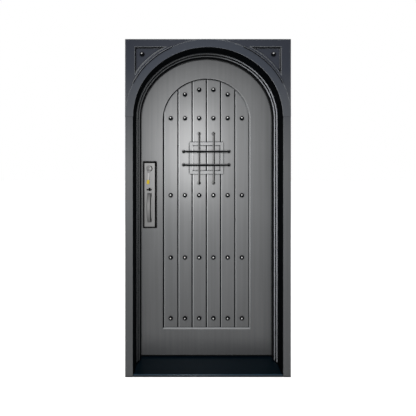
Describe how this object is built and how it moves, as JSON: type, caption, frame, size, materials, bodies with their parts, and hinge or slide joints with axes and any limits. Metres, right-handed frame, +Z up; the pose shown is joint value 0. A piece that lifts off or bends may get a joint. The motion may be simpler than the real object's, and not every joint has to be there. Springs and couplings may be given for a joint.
{
  "type": "iron entrance door",
  "caption": "Arched iron entrance door in a square welded frame, with a recessed plank panel, domed studs, a barred look-out and a full-plate handle set.",
  "frame": {"origin": "middle of the threshold's underside, halfway through the frame's depth", "axes": "+X to the right seen from outside, +Y towards the inside, +Z up"},
  "size_m": [1.016, 0.2495, 2.07],
  "materials": {
    "frame_paint": "satin charcoal paint",
    "leaf_paint": "satin charcoal paint",
    "stud_iron": "satin black paint",
    "seal_rubber": "matt black rubber",
    "sill_paint": "gloss dark paint",
    "foam": "rigid foam",
    "hinge_steel": "satin charcoal paint",
    "black_metal": "satin black paint",
    "satin_steel": "brushed satin",
    "lock_steel": "bright plated",
    "tag_plastic": "yellow moulded plastic"
  },
  "bodies": {
    "frame": {"jamb_left": "frame_paint", "jamb_right": "frame_paint", "arch_head": "frame_paint", "corner_wraps": "frame_paint", "corner_front_left": "frame_paint", "corner_front_right": "frame_paint", "corner_back_plates": "frame_paint", "corner_pans": "frame_paint", "arch_beads": "frame_paint", "stop_outer": "frame_paint", "stop_inner": "frame_paint", "corner_studs": "stud_iron", "weatherstrip": "seal_rubber", "threshold": "sill_paint", "strike_plates": "lock_steel", "strike_screws": "lock_steel", "hinge_jamb_leaves": "hinge_steel", "hinge_pins": "hinge_steel", "hinge_bearings": "hinge_steel"},
    "leaf": {"back_skin": "leaf_paint", "cross_bars": "stud_iron", "door_studs": "stud_iron", "door_sweep": "seal_rubber", "front_skin": "leaf_paint", "handle_backplate": "black_metal", "handle_plate": "satin_steel", "hinge_door_leaves": "hinge_steel", "hinge_stile": "leaf_paint", "inner_panel": "leaf_paint", "inner_plate": "satin_steel", "insulation_core": "foam", "latch_stile": "leaf_paint", "leaf_arch_rail": "leaf_paint", "leaf_bottom_rail": "leaf_paint", "lock_case": "lock_steel", "lock_cylinder": "satin_steel", "lock_faceplate": "lock_steel", "plank_1": "leaf_paint", "plank_2": "leaf_paint", "plank_3": "leaf_paint", "plank_4": "leaf_paint", "plank_5": "leaf_paint", "plank_6": "leaf_paint", "pull_grip": "satin_steel", "speakeasy_frame": "leaf_paint", "speakeasy_pins": "hinge_steel", "thumb_pin": "black_metal", "upright_bars": "stud_iron"},
    "thumb": {"thumb_piece": "black_metal"},
    "inside_lever": {"inner_lever": "satin_steel"},
    "latch": {"latch_bolt": "lock_steel"},
    "key_barrel": {"key_plug": "lock_steel", "key": "lock_steel"},
    "key_bunch": {"key_ring": "lock_steel", "key_strap": "lock_steel", "key_tag": "tag_plastic"},
    "turn_knob": {"thumbturn": "satin_steel"},
    "dead_bolt": {"deadbolt": "lock_steel"},
    "look_out": {"speakeasy_door": "leaf_paint"},
    "look_out_bolt": {"speakeasy_bolt": "satin_steel"}
  },
  "joints": [
    {"name": "leaf_swing", "type": "hinge", "parent": "frame", "child": "leaf", "pos_m": [0.455, 0.1128, 0.9], "axis": [0, 0, -1], "range_deg": [0, 100]},
    {"name": "thumb_press", "type": "hinge", "parent": "leaf", "child": "thumb", "pos_m": [-0.377, 0.035, 1.132], "axis": [1, 0, 0], "range_deg": [0, 12], "stiffness_Nm_per_rad": 0.8, "springref_deg": -11.46},
    {"name": "lever_turn", "type": "hinge", "parent": "leaf", "child": "inside_lever", "pos_m": [-0.377, 0.1015, 1.133], "axis": [0, 1, 0], "range_deg": [0, 48]},
    {"name": "latch_slide", "type": "slide", "parent": "leaf", "child": "latch", "axis": [1, 0, 0], "range_m": [0, 0.0121]},
    {"name": "key_turn", "type": "hinge", "parent": "leaf", "child": "key_barrel", "pos_m": [-0.377, 0.0265, 1.271], "axis": [0, -1, 0], "range_deg": [0, 90]},
    {"name": "knob_turn", "type": "hinge", "parent": "leaf", "child": "turn_knob", "pos_m": [-0.377, 0.1015, 1.271], "axis": [0, -1, 0], "range_deg": [0, 90]},
    {"name": "deadbolt_slide", "type": "slide", "parent": "leaf", "child": "dead_bolt", "axis": [-1, 0, 0], "range_m": [0, 0.0251]},
    {"name": "bunch_swing", "type": "hinge", "parent": "key_barrel", "child": "key_bunch", "pos_m": [-0.377, -0.0095, 1.271], "axis": [1, 0, 0], "range_deg": [-12, 12]},
    {"name": "look_out_swing", "type": "hinge", "parent": "leaf", "child": "look_out", "pos_m": [0.0885, 0.063, 1.34], "axis": [0, 0, -1], "range_deg": [0, 90]},
    {"name": "look_out_bolt_slide", "type": "slide", "parent": "look_out", "child": "look_out_bolt", "axis": [-1, 0, 0], "range_m": [0, 0.009]}
  ],
  "couplings": [
    {"joint": "lever_turn", "follows": "thumb_press", "ratio": 4},
    {"joint": "latch_slide", "follows": "thumb_press", "m_per_rad": 0.057296},
    {"joint": "knob_turn", "follows": "key_turn", "ratio": 1},
    {"joint": "deadbolt_slide", "follows": "key_turn", "m_per_rad": 0.015915}
  ]
}
